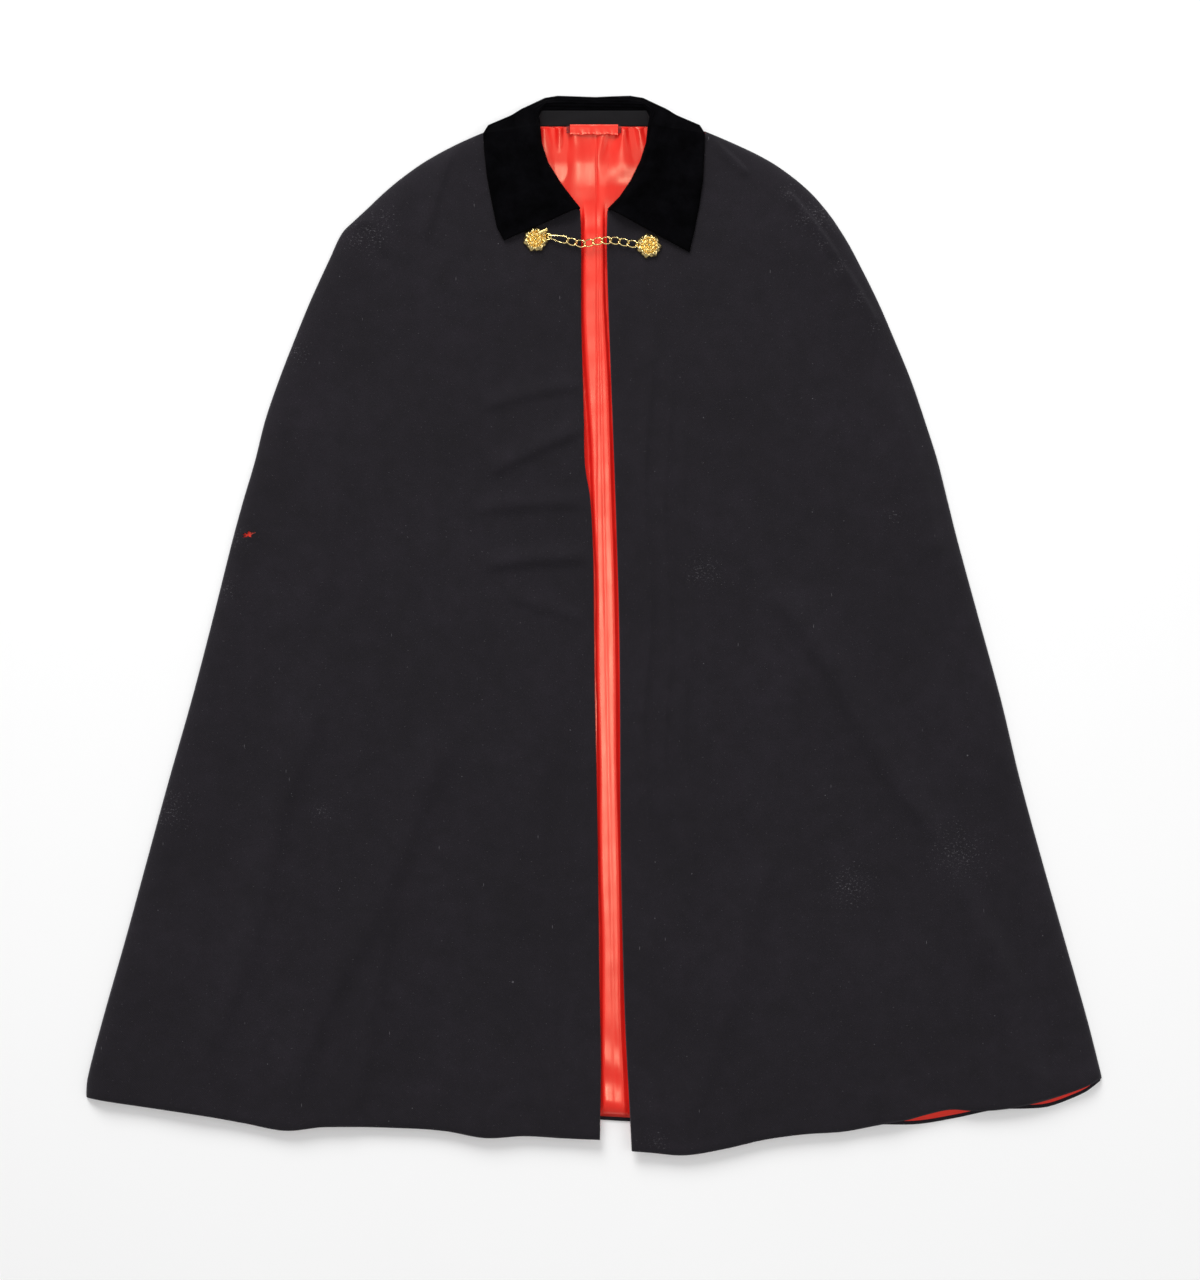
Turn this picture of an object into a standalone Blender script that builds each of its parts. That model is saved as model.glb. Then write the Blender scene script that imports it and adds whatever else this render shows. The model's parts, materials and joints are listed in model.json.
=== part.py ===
"""A lined wool cape with a velvet fold-down collar and a chain clasp, lying flat on its back.

+X is the viewer's right, +Y runs towards the collar, +Z is up. Metres.
The back lies on the ground, the two fronts lie over it, and the chain joins them at the neck.
"""
import math

import bmesh
import bpy
from mathutils import Matrix, Vector

MM = 0.001
GAP = 0.3 * MM            # air between neighbouring pieces

# cloth
WOOL = 1.5 * MM
SATIN = 0.6 * MM
VELVET = 1.2 * MM
UNDER_CLOTH = 0.9 * MM
FRONT_TOP = 12.0 * MM     # height of the fronts' outer face above the ground
SIDE_ROUND = 30.0 * MM    # how far in from the side seam the front is still curving down
SIDE_BASE = 3.8 * MM      # height of the front's outer face where it meets the back
SIDE_COLUMNS = 3          # the outer columns of a front's grid, which curve down to the side seam
SIDE_PARTING = 0.014      # share of the width left open between them and the flat part
FRONT_GRID = (9, 18)      # columns and rows of faces
OPENING_GRID = (3, 8)
BACK_GRID = (7, 20)
NECK_LIFT = 3.3 * MM      # the back neck rides on the collar leaf folded under it

# clasp
WIRE = 0.75 * MM          # radius of the chain wire
LINK_HALF_LENGTH = 5.75 * MM
LINK_HALF_WIDTH = 3.65 * MM
LINK_TWIST = math.radians(42)
LINK_SIDES = 26
LINK_SQUARENESS = 0.8     # power of the link's superellipse: 1 is a plain oval, less is squarer
LINK_CLEARANCE = 0.35 * MM
LINK_TO_PIVOT = LINK_HALF_LENGTH - WIRE - LINK_CLEARANCE / 2
CHAIN_HEIGHT = 16.3 * MM
CHAIN_START = Vector((0.0420, 0.4192, CHAIN_HEIGHT))    # middle of the link next to the right boss
CHAIN_HEADINGS = (172, 166, 174, 183, 188, 195, 172, 163)   # degrees, the way each link runs
HOOK_HEADING = 168
LEFT_BOSS_HEADING = 193     # the way from the left eye to the middle of the left boss
HOOK_LENGTH = 17.5 * MM
HOOK_DROP = 3.0 * MM
HOOK_TONGUE = 1.5 * MM    # half the width of the hook's turned-down end
BOSS_RADIUS = 12.9 * MM
BOSS_HEIGHT = 8.5 * MM
BOSS_LOBES = 7
BOSS_RIGHT = Vector((0.0605, 0.4175, FRONT_TOP + GAP))
EYE_RADIUS = 3.4 * MM
EYE_WIRE = 0.7 * MM

# outlines in millimetres, top to bottom: (x, y) on the turn line or neck edge, (x, y) on the side seam
LEFT_ROWS = (((-64, 548), (-122, 542)), ((-62, 529), (-158, 527)), ((-53, 501), (-200, 503)),
             ((-41, 480), (-235, 474)), ((-30, 467), (-264, 447)), ((-18, 457), (-291, 406)),
             ((-14, 440), (-313, 358)), ((-14, 400), (-331, 314)), ((-14, 345), (-348, 270)))
RIGHT_ROWS = (((64, 548), (122, 542)), ((62, 529), (158, 529)), ((56, 508), (203, 506)),
              ((48, 490), (241, 475)), ((35, 470), (268, 442)), ((18, 456), (289, 406)),
              ((14, 440), (313, 358)), ((15, 400), (332, 314)), ((18, 345), (350, 270)))
LEFT_SIDE = ((-348, 270), (-374, 182), (-399, 94), (-444, -82), (-493, -258), (-542, -434), (-561, -518))
RIGHT_SIDE = ((350, 270), (379, 182), (401, 94), (449, -82), (494, -258), (544, -434), (561, -510))
LEFT_TURN = ((-17, 345), (-232, -553))     # straight line that the left opening edge turns back on
RIGHT_TURN = ((21, 345), (250, -557))
LEFT_EDGE = ((-14, 340), (-11, 225), (-3, 138), (0, 6), (3, -170), (6.6, -434), (6.6, -566))
RIGHT_EDGE = ((18, 340), (20.5, 225), (23.5, 138), (27.5, 6), (29, -170), (34, -434), (42, -583.5))
BACK_ROWS = ((549.5, 76), (542, 123), (512, 190), (477, 235), (447, 266), (406, 290), (358, 313), (314, 331),
             (270, 349), (182, 376), (94, 400), (-82, 446), (-258, 493), (-434, 543), (-513, 560))
BACK_HEM = -541


def clear_scene():
    for item in list(bpy.data.objects):
        bpy.data.objects.remove(item, do_unlink=True)


def new_collection(name):
    collection = bpy.data.collections.new(name)
    bpy.context.scene.collection.children.link(collection)
    return collection


def new_material(name, color, roughness, metallic=0.0):
    material = bpy.data.materials.new(name)
    material.use_nodes = True
    shader = material.node_tree.nodes["Principled BSDF"]
    shader.inputs["Base Color"].default_value = (*color, 1.0)
    shader.inputs["Roughness"].default_value = roughness
    shader.inputs["Metallic"].default_value = metallic
    return material


def add_object(name, bm, material, collection):
    mesh = bpy.data.meshes.new(name)
    bm.to_mesh(mesh)
    bm.free()
    mesh.shade_smooth()
    mesh.materials.append(material)
    item = bpy.data.objects.new(name, mesh)
    collection.objects.link(item)
    return item


def along(points, t):
    """Catmull-Rom curve through the points, t from 0 to 1."""
    last = len(points) - 1
    place = min(max(t, 0.0), 1.0) * last
    index = min(int(place), last - 1)
    f = place - index
    p1, p2 = Vector(points[index]), Vector(points[index + 1])
    p0 = Vector(points[index - 1]) if index > 0 else 2 * p1 - p2
    p3 = Vector(points[index + 2]) if index + 2 <= last else 2 * p2 - p1
    return 0.5 * (2 * p1 + f * (p2 - p0) + f * f * (2 * p0 - 5 * p1 + 4 * p2 - p3)
                  + f ** 3 * (3 * p1 - p0 - 3 * p2 + p3))


def smooth_step(value):
    value = min(max(value, 0.0), 1.0)
    return value * value * (3 - 2 * value)


def sheet(name, across, down, place, thickness, material, collection, depth=0.0,
          left=0, right=0, low=0, high=0, even=False):
    """A cloth: a grid laid on place(u, v), with a thickness inwards that starts at depth.

    left, right, low and high leave out that many columns or rows of the grid, so that a lining keeps to the
    points of its shell and lies exactly parallel to it.
    """
    bm = bmesh.new()
    bmesh.ops.create_grid(bm, x_segments=across - left - right, y_segments=down - low - high, size=0.5)
    for vert in bm.verts:
        column = left + (vert.co.x + 0.5) * (across - left - right)
        row = low + (vert.co.y + 0.5) * (down - low - high)
        vert.co = place(column / across, row / down)
    bm.normal_update()
    item = add_object(name, bm, material, collection)
    solid = item.modifiers.new("thickness", "SOLIDIFY")
    solid.thickness = thickness
    solid.offset = -1.0 - 2 * depth / thickness
    solid.use_even_offset = even
    return item


def neck_lift(x, y):
    """How high the back is raised by the collar leaf that is folded under it."""
    return NECK_LIFT * smooth_step((y / MM - 482) / 30) * smooth_step((156 - abs(x) / MM) / 32)


def front_height(outer, point):
    """Height of a front's outer face: level in the middle, low at the side seam and the shoulder."""
    base = SIDE_BASE + neck_lift(point.x, point.y)
    shoulder = 549 * MM - 0.11 * max(abs(point.x) - 64 * MM, 0)
    near = min((point - outer).length, shoulder - point.y)
    inside = 1 - min(max(near / SIDE_ROUND, 0), 1)
    return base + (FRONT_TOP - base) * math.sqrt(1 - inside ** 2)


def front_place(rows, side, turn):
    """Outer face of a front, from its neck edge and turn line out to the side seam. v rises to the neck."""
    on_right = rows[0][0][0] > 0

    def place(u, v):
        if v > 0.501:
            t = (1 - v) / 0.5
            inner = along([row[0] for row in rows], t)
            outer = along([row[1] for row in rows], t)
        else:
            t = (0.5 - v) / 0.5
            inner = Vector(turn[0]).lerp(Vector(turn[1]), t)
            outer = along(side, t)
        inner, outer = inner * MM, outer * MM
        out_way = (outer - inner).normalized()
        reach = (outer - inner).length
        outward = u if on_right else 1 - u
        point = inner + out_way * (reach * (1 - (1 - outward) ** 1.8))
        return Vector((point.x, point.y, front_height(outer, point)))

    return place


def parted(place, half):
    """The same surface, drawn back a little where the side edge of a front meets its flat part."""
    def drawn_back(u, v):
        outward = u if half > 0 else 1 - u
        seam = (9 - SIDE_COLUMNS) / 9
        shift = SIDE_PARTING if abs(outward - seam) < 0.01 else 0.0
        return place(u + half * shift, v)

    return drawn_back


def opening_place(turn, edge):
    """Outer face of an opening edge, between the turn line and the front edge. v rises to the neck."""
    on_right = turn[0][0] > 0

    def place(u, v):
        hinge = Vector(turn[0]).lerp(Vector(turn[1]), 1 - v) * MM
        free = along(edge, 1 - v) * MM
        hinge += (free - hinge).normalized() * 3 * GAP
        point = free.lerp(hinge, u) if on_right else hinge.lerp(free, u)
        return Vector((point.x, point.y, FRONT_TOP))

    return place


def back_place(half):
    """Outer face of a half of the back: it faces the ground, so u runs against +X."""

    def place(u, v):
        y, width = along(BACK_ROWS, 1 - v) * MM
        share = 1 - u if half > 0 else u
        x = 0.5 * GAP + (width - 0.5 * GAP) * (1 - (1 - share) ** 1.3)
        if v < 0.2:
            hem = BACK_HEM * MM + (BACK_ROWS[-1][0] - BACK_HEM) * MM * (x / width) ** 2
            y += (hem - BACK_ROWS[-1][0] * MM) * (1 - v / 0.2) ** 2
        return Vector((half * x, y, neck_lift(x, y)))

    return place


def wing(roll, edge, roll_height, edge_height=15.2):
    """Collar section over a front: inside the neck, over the roll and out to the leaf's edge."""
    roll, edge = Vector(roll), Vector(edge)
    out_way = (edge - roll).normalized()
    width = (edge - roll).length
    marks = ((2.5, roll_height - 8.5), (0, roll_height - 4.5), (4.5, roll_height),
             (0.45 * width, edge_height + 0.5 * (roll_height - edge_height)), (width, edge_height))
    return [Vector((*(roll + out_way * reach), height)) for reach, height in marks]


def tucked(side, roll_x, edge):
    """Collar section behind the neck: from the stand, over the roll and back under the cape."""
    x, y = edge
    marks = ((roll_x, 567.3, 8.3), (roll_x, 576, 9.6), (roll_x + 1, 583.5, 5.2),
             ((roll_x + x) / 2, 553, 0), (x, y, 0))
    return [Vector((side * mark[0], mark[1], mark[2])) for mark in marks]


def shoulder_wrap(side, marks):
    """Collar section where the leaf folds round the shoulder, from inside the neck to the leaf's edge."""
    return [Vector((side * x, y, z)) for x, y, z in marks]


FOLD_MARKS = ((60.5, 559, 12), (62, 567, 14), (67, 575, 10), (92, 566, 8), (118, 555, 8))
BELOW_FOLD_MARKS = ((54, 567, 10.2), (54, 574.5, 12), (56, 582, 6.5), (86, 567, 0), (115, 553.5, 0))
COLLAR_SECTIONS = (
    [wing((-15, 459), (-99, 424), 20.5), wing((-24, 470), (-107, 438), 21.5),
     wing((-37, 487), (-112, 462), 23), wing((-50, 508), (-118, 494), 24),
     wing((-57, 529), (-121, 522), 24), wing((-59, 549), (-122, 541), 21.5),
     shoulder_wrap(-1, FOLD_MARKS), shoulder_wrap(-1, BELOW_FOLD_MARKS), tucked(-1, 38, (92, 524)),
     tucked(-1, 20, (46, 518)), tucked(1, 0, (0, 516.5)), tucked(1, 20, (46, 518)), tucked(1, 38, (92, 524)),
     shoulder_wrap(1, BELOW_FOLD_MARKS), shoulder_wrap(1, FOLD_MARKS),
     wing((59, 550), (122, 541), 21.5), wing((57, 530), (121.5, 519), 24), wing((51, 511), (120, 490), 24),
     wing((41, 490), (116, 462), 23), wing((28, 471), (111, 436), 21.5), wing((15, 458), (105, 410), 20.5)])
COLLAR_ALONG = 2 * len(COLLAR_SECTIONS) - 2


def collar_place(u, v):
    """Outer face of the collar: u from the left tip round the neck to the right, v from inside to edge."""
    place = u * (len(COLLAR_SECTIONS) - 1)
    index = min(int(place), len(COLLAR_SECTIONS) - 2)
    point = along(COLLAR_SECTIONS[index], v).lerp(along(COLLAR_SECTIONS[index + 1], v), place - index) * MM
    point.z = max(point.z, 0.0)
    return point


def seam_point(section):
    """Where the stand meets the neck: below the roll over the fronts, and level behind the neck."""
    top = section[0]
    if top.y < 550:
        return top - Vector((0, 0, 4.5))
    return Vector((top.x * 1.02, 550.2, 5.9 + 0.3 * (top.z - 8.3)))


def stand_place(u, v):
    """Inner face of the stand, from the neck seam up to the velvet, between the two front edges."""
    place = (0.05 + 0.90 * u) * (len(COLLAR_SECTIONS) - 1)
    index = int(place)
    before, after = COLLAR_SECTIONS[index:index + 2]
    seam = seam_point(before).lerp(seam_point(after), place - index)
    top = before[0].lerp(after[0], place - index)
    return top.lerp(seam, 1 - 0.9 * v) * MM


def link_point(angle, half_length, half_width):
    """A twisted oval: its two ends lean opposite ways, so that the links of a chain lie flat."""
    x = half_length * math.copysign(abs(math.cos(angle)) ** LINK_SQUARENESS, math.cos(angle))
    across = half_width * math.copysign(abs(math.sin(angle)) ** LINK_SQUARENESS, math.sin(angle))
    lean = LINK_TWIST * x / LINK_HALF_LENGTH
    return Vector((x, across * math.cos(lean), across * math.sin(lean)))


def hook_point(angle):
    """The chain end is like a link; the long end narrows and turns down to a tongue."""
    if math.cos(angle) >= 0:
        return link_point(angle, LINK_HALF_LENGTH, LINK_HALF_WIDTH)
    reach = (HOOK_LENGTH + HOOK_DROP) * abs(math.cos(angle)) ** LINK_SQUARENESS
    narrow = smooth_step(reach / HOOK_LENGTH)
    across = math.copysign(abs(math.sin(angle)) ** 0.3, math.sin(angle))
    across *= LINK_HALF_WIDTH * (1 - narrow) + HOOK_TONGUE * narrow
    bend = 1.6 * MM
    past = reach - (HOOK_LENGTH - bend)
    if past <= 0:
        return Vector((-reach, across, 0))
    turn = min(past / bend, math.pi / 2)
    straight = max(past - bend * math.pi / 2, 0)
    drop = bend * (1 - math.cos(turn)) + straight
    return Vector((-(HOOK_LENGTH - bend) - bend * math.sin(turn), across, -drop))


def wire_loop(name, points, material, collection):
    curve = bpy.data.curves.new(name, "CURVE")
    curve.dimensions = "3D"
    curve.bevel_depth = WIRE
    curve.bevel_resolution = 2
    curve.materials.append(material)
    spline = curve.splines.new("POLY")
    spline.points.add(len(points) - 1)
    for slot, point in zip(spline.points, points):
        slot.co = (*point, 1.0)
    spline.use_cyclic_u = True
    item = bpy.data.objects.new(name, curve)
    collection.objects.link(item)
    return item


def loop_angles(count):
    return [2 * math.pi * (step + 0.5) / count for step in range(count)]


def turned(point, degrees):
    return Matrix.Rotation(math.radians(degrees), 3, "Z") @ point


def chain_layout():
    """Middle, heading and pivot of each link and of the hook, going from the right boss to the left one."""
    pivot = CHAIN_START - turned(Vector((LINK_TO_PIVOT, 0, 0)), CHAIN_HEADINGS[0])
    layout = []
    for heading in (*CHAIN_HEADINGS, HOOK_HEADING):
        stride = turned(Vector((LINK_TO_PIVOT, 0, 0)), heading)
        layout.append((pivot + stride, heading, pivot))
        pivot = pivot + 2 * stride
    return layout


def build_chain(material, collection):
    """The links and the hook, each with its origin at the pivot that it hangs from."""
    layout = chain_layout()
    for number, (middle, heading, pivot) in enumerate(layout[:-1], start=1):
        points = [link_point(angle, LINK_HALF_LENGTH, LINK_HALF_WIDTH) for angle in loop_angles(LINK_SIDES)]
        from_pivot = [turned(point, heading) + middle - pivot for point in points]
        wire_loop(f"chain_link_{number}", from_pivot, material, collection).location = pivot
    middle, heading, pivot = layout[-1]
    points = [turned(hook_point(angle), heading + 180) for angle in loop_angles(40)]
    from_pivot = [point + middle - pivot for point in points]
    wire_loop("clasp_hook", from_pivot, material, collection).location = pivot


def boss_dome(name, center, valley, material, collection):
    """A lobed casting with a flat back; a valley between two lobes faces the clasp's eye."""
    bm = bmesh.new()
    bmesh.ops.create_uvsphere(bm, u_segments=42, v_segments=12, radius=1.0)
    for vert in bm.verts:
        share = math.hypot(vert.co.x, vert.co.y)
        angle = math.atan2(vert.co.y, vert.co.x)
        lobes = 1 - 0.09 * share ** 2 * math.cos(BOSS_LOBES * (angle - math.radians(valley)))
        height = max(vert.co.z, 0) * BOSS_HEIGHT * (1 + 0.12 * math.exp(-(share / 0.25) ** 2))
        height *= 1 - 0.16 * math.exp(-((share - 0.45) / 0.14) ** 2)
        vert.co = Vector((vert.co.x * lobes * BOSS_RADIUS, vert.co.y * lobes * BOSS_RADIUS, height))
    item = add_object(name, bm, material, collection)
    item.location = center
    return item


def join(item, addition):
    """Boolean union; the added body stays in the cutters' collection, unseen."""
    addition.hide_render = True
    addition.display_type = "WIRE"
    union = item.modifiers.new("eye", "BOOLEAN")
    union.operation = "UNION"
    union.solver = "EXACT"
    union.object = addition


def ring(name, major, minor, material, collection):
    bpy.ops.mesh.primitive_torus_add(major_segments=26, minor_segments=8, major_radius=major,
                                     minor_radius=minor)
    item = bpy.context.object
    item.name = name
    item.data.materials.append(material)
    for home in list(item.users_collection):
        home.objects.unlink(item)
    collection.objects.link(item)
    return item


def mesh_from_curve(item, collection):
    mesh = bpy.data.meshes.new_from_object(item.evaluated_get(bpy.context.evaluated_depsgraph_get()))
    made = bpy.data.objects.new(item.name + "_solid", mesh)
    made.matrix_world = item.matrix_world
    collection.objects.link(made)
    bpy.data.objects.remove(item)
    return made


def build_bosses(material, collection, cutters):
    """The two bosses, each cast in one with its eye: a link on the right, a ring on the left."""
    layout = chain_layout()
    right = boss_dome("clasp_boss_right", BOSS_RIGHT, 174, material, collection)
    pivot, heading = layout[0][2], CHAIN_HEADINGS[0]
    middle = pivot - turned(Vector((LINK_TO_PIVOT, 0, 0)), heading)
    points = [turned(link_point(angle, LINK_HALF_LENGTH, LINK_HALF_WIDTH), heading) + middle
              for angle in loop_angles(LINK_SIDES)]
    eye = wire_loop("eye_right", points, material, cutters)
    bpy.context.view_layer.update()
    join(right, mesh_from_curve(eye, cutters))

    hook_middle, hook_heading, _ = layout[-1]
    tip = hook_middle + turned(Vector((HOOK_LENGTH, 0, 0)), hook_heading)
    eye_center = Vector((tip.x + 0.4 * MM, tip.y, FRONT_TOP + GAP + 1.7 * MM))
    away = turned(Vector((BOSS_RADIUS * 1.10, 0, 0)), LEFT_BOSS_HEADING)
    left_center = Vector((eye_center.x + away.x, eye_center.y + away.y, FRONT_TOP + GAP))
    left = boss_dome("clasp_boss_left", left_center, LEFT_BOSS_HEADING - 180, material, collection)
    eye = ring("eye_left", EYE_RADIUS, EYE_WIRE, material, cutters)
    eye.location = eye_center
    join(left, eye)


def build_hanger(loop_material, thread_material, collection):
    """The hanger loop, whose origin is on its upper edge, and the two tacks that hold its ends."""
    low, high, height = 540.0 * MM, 551.6 * MM, 8.9 * MM
    bm = bmesh.new()
    bmesh.ops.create_cube(bm, size=1.0)
    size = Vector((53.0 * MM, high - low, 1.2 * MM))
    for vert in bm.verts:
        vert.co = Vector((vert.co.x * size.x, (vert.co.y - 0.5) * size.y, vert.co.z * size.z))
    add_object("hanger_loop", bm, loop_material, collection).location = (0, high, height)
    for side, place in (("left", -28.3 * MM), ("right", 28.3 * MM)):
        bm = bmesh.new()
        bmesh.ops.create_cube(bm, size=1.0, matrix=Matrix.Diagonal((3.0 * MM, 8.0 * MM, 2.0 * MM, 1.0)))
        tack = add_object(f"hanger_tack_{side}", bm, thread_material, collection)
        tack.location = (place, 546 * MM, height - 0.9 * MM)


def build_cloth(wool, satin, velvet, black_cloth, collection):
    """Every sheet; neighbours share one grid, so that the linings stay clear of the shells."""
    lining_depth = WOOL + 2 * GAP
    for side, rows, seam, turn, edge in (("left", LEFT_ROWS, LEFT_SIDE, LEFT_TURN, LEFT_EDGE),
                                         ("right", RIGHT_ROWS, RIGHT_SIDE, RIGHT_TURN, RIGHT_EDGE)):
        half = -1 if side == "left" else 1
        front = front_place(rows, seam, turn)
        opening = opening_place(turn, edge)
        back = back_place(half)
        inner_columns = FRONT_GRID[0] - SIDE_COLUMNS
        outer_column = {"left": 1} if half < 0 else {"right": 1}
        flat_columns = {"left": SIDE_COLUMNS} if half < 0 else {"right": SIDE_COLUMNS}
        side_columns = {"right": inner_columns} if half < 0 else {"left": inner_columns}
        sheet(f"front_shell_{side}", *FRONT_GRID, front, WOOL, wool, collection, **flat_columns)
        sheet(f"side_edge_{side}", *FRONT_GRID, parted(front, half), WOOL, wool, collection, high=1,
              **side_columns)
        sheet(f"front_lining_{side}", *FRONT_GRID, front, SATIN, satin, collection, lining_depth, high=1,
              **outer_column)
        sheet(f"opening_edge_{side}", *OPENING_GRID, opening, WOOL, wool, collection)
        sheet(f"opening_lining_{side}", *OPENING_GRID, opening, SATIN, satin, collection, lining_depth)
        sheet(f"back_shell_{side}", *BACK_GRID, back, WOOL, wool, collection)
        sheet(f"back_lining_{side}", *BACK_GRID, back, SATIN, satin, collection, WOOL + GAP)
    sheet("top_collar", COLLAR_ALONG, 10, collar_place, VELVET, velvet, collection)
    sheet("under_collar", COLLAR_ALONG, 10, collar_place, UNDER_CLOTH, black_cloth, collection,
          VELVET + 2 * GAP, left=1, right=1, low=7, even=True)
    sheet("collar_stand", 36, 2, stand_place, UNDER_CLOTH, black_cloth, collection)


def main():
    clear_scene()
    parts = new_collection("superhero_cape")
    cutters = new_collection("cutters")
    wool = new_material("black_wool", (0.018, 0.016, 0.020), 0.95)
    satin = new_material("red_satin", (0.80, 0.03, 0.03), 0.35)
    velvet = new_material("black_velvet", (0.004, 0.004, 0.006), 1.0)
    black_cloth = new_material("black_cloth", (0.010, 0.010, 0.012), 0.8)
    gold = new_material("pale_gold", (0.90, 0.72, 0.36), 0.25, 1.0)
    thread = new_material("red_thread", (0.60, 0.03, 0.03), 0.7)
    build_cloth(wool, satin, velvet, black_cloth, parts)
    build_hanger(satin, thread, parts)
    build_chain(gold, parts)
    build_bosses(gold, parts, cutters)


main()
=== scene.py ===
"""The finished look of a lined wool cape laid out flat: cloth, velvet collar, hanger and chain clasp."""

import json
import math

import bmesh
import bpy
import numpy as np
from bpy.props import FloatProperty, FloatVectorProperty, IntProperty, PointerProperty
from mathutils import Matrix, Vector


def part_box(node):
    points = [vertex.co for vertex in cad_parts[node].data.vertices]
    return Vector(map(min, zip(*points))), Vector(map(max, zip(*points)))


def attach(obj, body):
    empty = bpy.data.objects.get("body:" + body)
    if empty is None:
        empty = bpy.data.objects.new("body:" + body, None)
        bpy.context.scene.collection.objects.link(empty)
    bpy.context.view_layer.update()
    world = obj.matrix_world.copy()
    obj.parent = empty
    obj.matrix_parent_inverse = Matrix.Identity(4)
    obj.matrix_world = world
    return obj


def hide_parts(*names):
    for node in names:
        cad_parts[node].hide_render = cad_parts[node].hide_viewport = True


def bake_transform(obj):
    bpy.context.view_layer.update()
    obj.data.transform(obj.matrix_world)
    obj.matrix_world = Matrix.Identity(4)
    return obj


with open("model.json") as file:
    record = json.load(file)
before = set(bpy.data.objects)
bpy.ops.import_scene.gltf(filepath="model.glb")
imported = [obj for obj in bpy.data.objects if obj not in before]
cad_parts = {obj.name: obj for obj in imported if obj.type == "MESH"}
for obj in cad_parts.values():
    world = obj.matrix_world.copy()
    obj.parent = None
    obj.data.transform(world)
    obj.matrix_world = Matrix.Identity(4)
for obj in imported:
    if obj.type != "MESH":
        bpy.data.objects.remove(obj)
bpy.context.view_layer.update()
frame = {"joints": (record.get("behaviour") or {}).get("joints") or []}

bl_info = {
    "name": "Lined Cape",
    "version": (1, 0, 0),
    "blender": (4, 5, 0),
    "location": "View3D > Sidebar > Cape",
    "description": "Builds a lined wool cape with a velvet collar and a chain clasp",
    "category": "Object",
}

MM = 0.001
HALVES = {"left": -1, "right": 1}

# Heights of the layers above the surface that the cape lies on.
FRONT_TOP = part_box("front_shell_left")[1].z
BACK_LINING_TOP = 2.4 * MM
NECK_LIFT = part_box("back_shell_left")[1].z - 1.5 * MM
BOSS_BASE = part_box("clasp_boss_left")[0].z
LEAF_TOP = 15.2 * MM
UNDER_COLLAR = 0.6 * MM

# Outlines in millimetres, (x, y). A front's neck edge and front edge meet at the throat.
NECK = {
    "left": ((-64, 548), (-62, 529), (-53, 501), (-41, 480), (-30, 467), (-15, 456.5)),
    "right": ((64, 548), (62, 529), (56, 508), (48, 490), (34, 470), (14.5, 456)),
}
FRONT_EDGE = {
    "left": ((-15, 456.5), (-14, 420), (-14, 340), (-12.5, 280), (-11, 225), (-10, 178), (-4, 138),
             (-1, 80), (0, 6), (1, -82), (3, -170), (4.5, -258), (6, -390), (7.7, -478), (6.6, -566)),
    "right": ((14.5, 456), (14, 420), (15.5, 358), (18.7, 270), (22, 182), (25, 94), (27.5, 6),
              (28.6, -100), (29, -214), (30.5, -310), (34, -434), (38.5, -522), (41.5, -578.5)),
}
SHOULDER = {
    "left": ((-122, 543), (-153, 530), (-186, 512), (-211, 494.5), (-231, 478), (-250, 460), (-263, 448)),
    "right": ((122, 544.5), (158, 530), (194, 512), (220, 494), (240, 476.5), (255, 459.5), (264.5, 447)),
}
SIDE = {
    "left": ((-263, 448), (-278, 433), (-291, 406), (-313, 358), (-331, 314), (-348, 270), (-363, 226),
             (-374, 182), (-387, 138), (-399, 94), (-421, 6), (-444, -82), (-469, -170), (-493, -258),
             (-517, -346), (-542, -434), (-559, -500), (-560.5, -520)),
    "right": ((264.5, 447), (278, 426), (289, 406), (313, 358), (332, 314), (350, 270), (365, 226),
              (379, 182), (390, 138), (401, 94), (425, 6), (449, -82), (470, -170), (494, -258),
              (519, -346), (544, -434), (560.5, -499)),
}
FRONT_HEM = {
    "left": ((6.6, -566), (-32, -564.5), (-76, -562), (-120, -564), (-164, -556.5), (-208, -553.5),
             (-296, -552), (-340, -556), (-384, -548), (-428, -540), (-516, -527), (-560.5, -520)),
    "right": ((41.5, -578.5), (60, -580), (100, -583), (144, -576), (188, -566), (232, -560), (276, -557),
              (318, -549), (345, -544.5), (366, -538.5), (392, -533), (420, -534.5), (452, -532.5),
              (485, -526), (510, -519), (540, -508.5), (560.5, -499)),
}
BACK_HEM = {
    "left": ((0, -545), (-200, -546), (-300, -546), (-384, -540), (-472, -526), (-559, -512)),
    "right": ((0, -545), (40, -547), (150, -549), (276, -550), (330, -550.5), (365, -550), (408, -543),
              (452, -534), (486, -533), (510, -531), (535, -522), (552, -513), (561, -502)),
}

# Soft folds in millimetres: (x, y) of both ends, half width, and height before the gain.
FOLDS = {
    "left": (((-12, 268), (-122, 236), 9, 1.5), ((-8, 214), (-120, 172), 11, 2.2),
             ((-10, 132), (-132, 128), 10, 1.7), ((-6, 72), (-122, 66), 10, 2.3),
             ((-8, 10), (-96, 30), 8, 1.2), ((-158, 525), (-182, 420), 9, 1.2),
             ((-262, 440), (-226, 396), 8, -1.1), ((-300, -60), (-425, -500), 20, 2.6),
             ((-150, -110), (-345, -530), 22, 3.2), ((-215, -300), (-275, -550), 16, 2.2),
             ((-60, -380), (-42, -565), 18, 1.8), ((-60, 0), (-52, -340), 24, 1.2),
             ((-250, 240), (-330, -20), 30, 1.4)),
    "right": (((59, 330), (57, -260), 7, 1.5), ((80, 300), (80, -230), 7, 1.4),
              ((100, 240), (104, -330), 9, 1.3), ((380, -240), (198, 40), 18, 3.8),
              ((360, -200), (470, -420), 22, 2.4), ((318, 280), (385, 60), 18, 1.8),
              ((124, 541), (168, 492), 6, 1.3), ((213, 479), (268, 397), 6, 1.6),
              ((268, 397), (310, 330), 7, 1.5), ((200, -240), (96, -570), 22, 2.8),
              ((260, -300), (330, -550), 24, 2.6), ((60, -330), (66, -570), 16, 1.8),
              ((420, -320), (500, -520), 20, 2.2)),
}
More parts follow.
